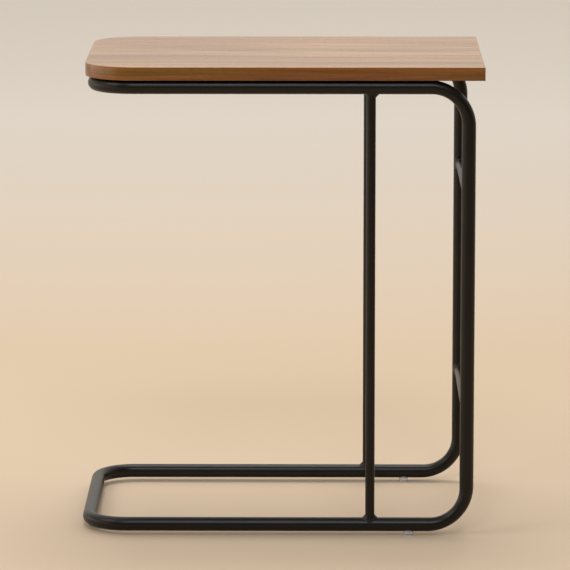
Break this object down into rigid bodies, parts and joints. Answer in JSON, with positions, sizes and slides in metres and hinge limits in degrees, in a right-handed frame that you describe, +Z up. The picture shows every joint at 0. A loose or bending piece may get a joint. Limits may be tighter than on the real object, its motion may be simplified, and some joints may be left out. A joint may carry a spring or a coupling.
{
  "type": "side table",
  "caption": "C-shaped side table: a walnut-look board with a rounded end on a black bent-tube frame whose base loop slides under a sofa or bed.",
  "frame": {"origin": "on the floor under the middle of the table's outline", "axes": "+X from the open rounded end to the uprights, +Y from the front to the rear, +Z up"},
  "size_m": [0.4552, 0.3, 0.535],
  "materials": {
    "walnut_face": "satin walnut-grain sheet",
    "walnut_edge": "satin walnut-grain edge band",
    "board_core": "raw particle board",
    "back_sheet": "satin backing sheet",
    "black_coat": "semi-matt black powder coat",
    "coated_weld": "black powder coat over a weld bead",
    "bare_steel": "bare steel tube",
    "clear_plastic": "clear soft plastic",
    "zinc_screw": "zinc plated"
  },
  "bodies": {
    "root": {"top_face_sheet": "walnut_face", "top_edge_band_wrap": "walnut_edge", "top_edge_band_end": "walnut_edge", "top_core": "board_core", "top_back_sheet": "back_sheet", "front_frame_tube": "black_coat", "rear_frame_tube": "black_coat", "front_strut": "black_coat", "rear_strut": "black_coat", "upper_crossbar": "black_coat", "lower_crossbar": "black_coat", "tab_front_left": "black_coat", "tab_front_right": "black_coat", "tab_rear_left": "black_coat", "tab_rear_right": "black_coat", "weld_front_strut_top": "coated_weld", "weld_front_strut_bottom": "coated_weld", "weld_rear_strut_top": "coated_weld", "weld_rear_strut_bottom": "coated_weld", "weld_upper_crossbar_front": "coated_weld", "weld_upper_crossbar_rear": "coated_weld", "weld_lower_crossbar_front": "coated_weld", "weld_lower_crossbar_rear": "coated_weld", "weld_tab_front_left": "coated_weld", "weld_tab_front_right": "coated_weld", "weld_tab_rear_left": "coated_weld", "weld_tab_rear_right": "coated_weld", "upper_joint_sleeve": "bare_steel", "lower_joint_sleeve": "bare_steel", "glide_front_left": "clear_plastic", "glide_front_right": "clear_plastic", "glide_rear_left": "clear_plastic", "glide_rear_right": "clear_plastic", "screw_front_left": "zinc_screw", "screw_front_right": "zinc_screw", "screw_rear_left": "zinc_screw", "screw_rear_right": "zinc_screw"}
  },
  "joints": []
}
